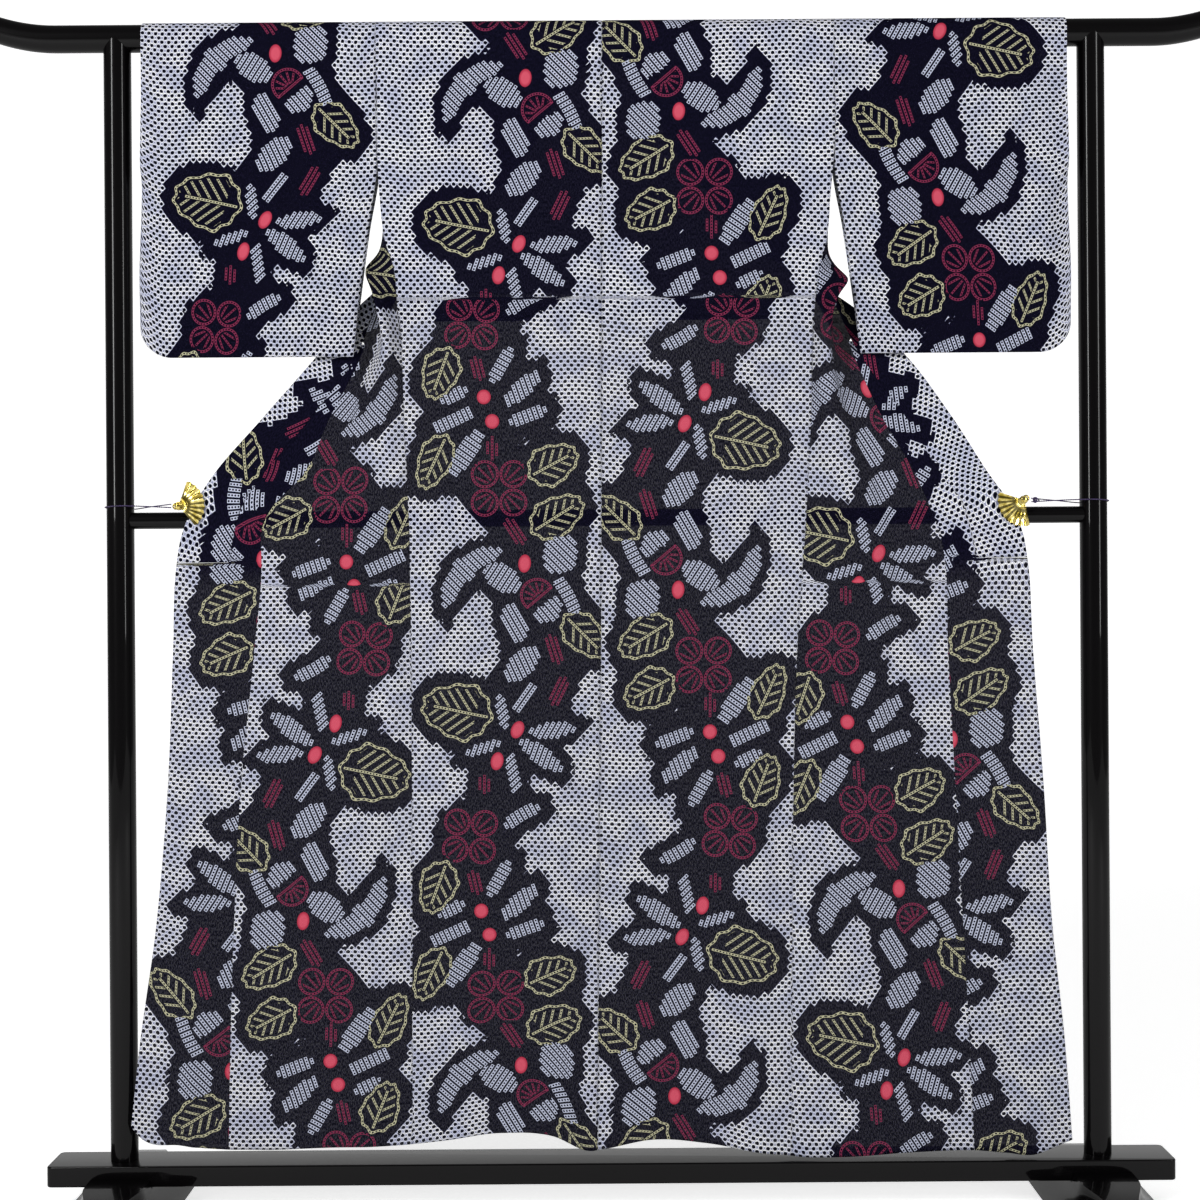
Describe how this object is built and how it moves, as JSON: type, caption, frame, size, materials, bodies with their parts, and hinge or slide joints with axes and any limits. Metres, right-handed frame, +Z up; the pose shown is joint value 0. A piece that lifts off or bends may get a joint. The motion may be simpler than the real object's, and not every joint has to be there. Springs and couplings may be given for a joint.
{
  "type": "yukata on a kimono stand",
  "caption": "Unlined cotton summer robe seen from its back, hung over the rail of a lacquered stand, its fronts drawn open by fan clips on cords.",
  "frame": {"origin": "on the floor, under the middle of the stand", "axes": "+X along the top rail, +Y towards the garment's fronts (the outside of its back faces -Y), +Z up"},
  "size_m": [1.85, 0.42, 1.7362],
  "materials": {
    "lacquer": "black lacquer, polished to a gloss",
    "cotton": "thin tie-dyed cotton, near-black navy ground with lilac, beige and maroon pattern",
    "brass": "polished",
    "silk_cord": "twisted purple silk"
  },
  "bodies": {
    "root": {"top_rail": "lacquer", "post_left": "lacquer", "post_right": "lacquer", "mid_rail": "lacquer", "base_beam": "lacquer", "foot_left": "lacquer", "foot_right": "lacquer", "back_left": "cotton", "back_right": "cotton", "front_left": "cotton", "front_right": "cotton", "okumi_left": "cotton", "okumi_right": "cotton", "collar": "cotton", "sleeve_left": "cotton", "sleeve_right": "cotton", "clip_left": "brass", "clip_right": "brass", "cord_left": "silk_cord", "cord_right": "silk_cord"}
  },
  "joints": []
}
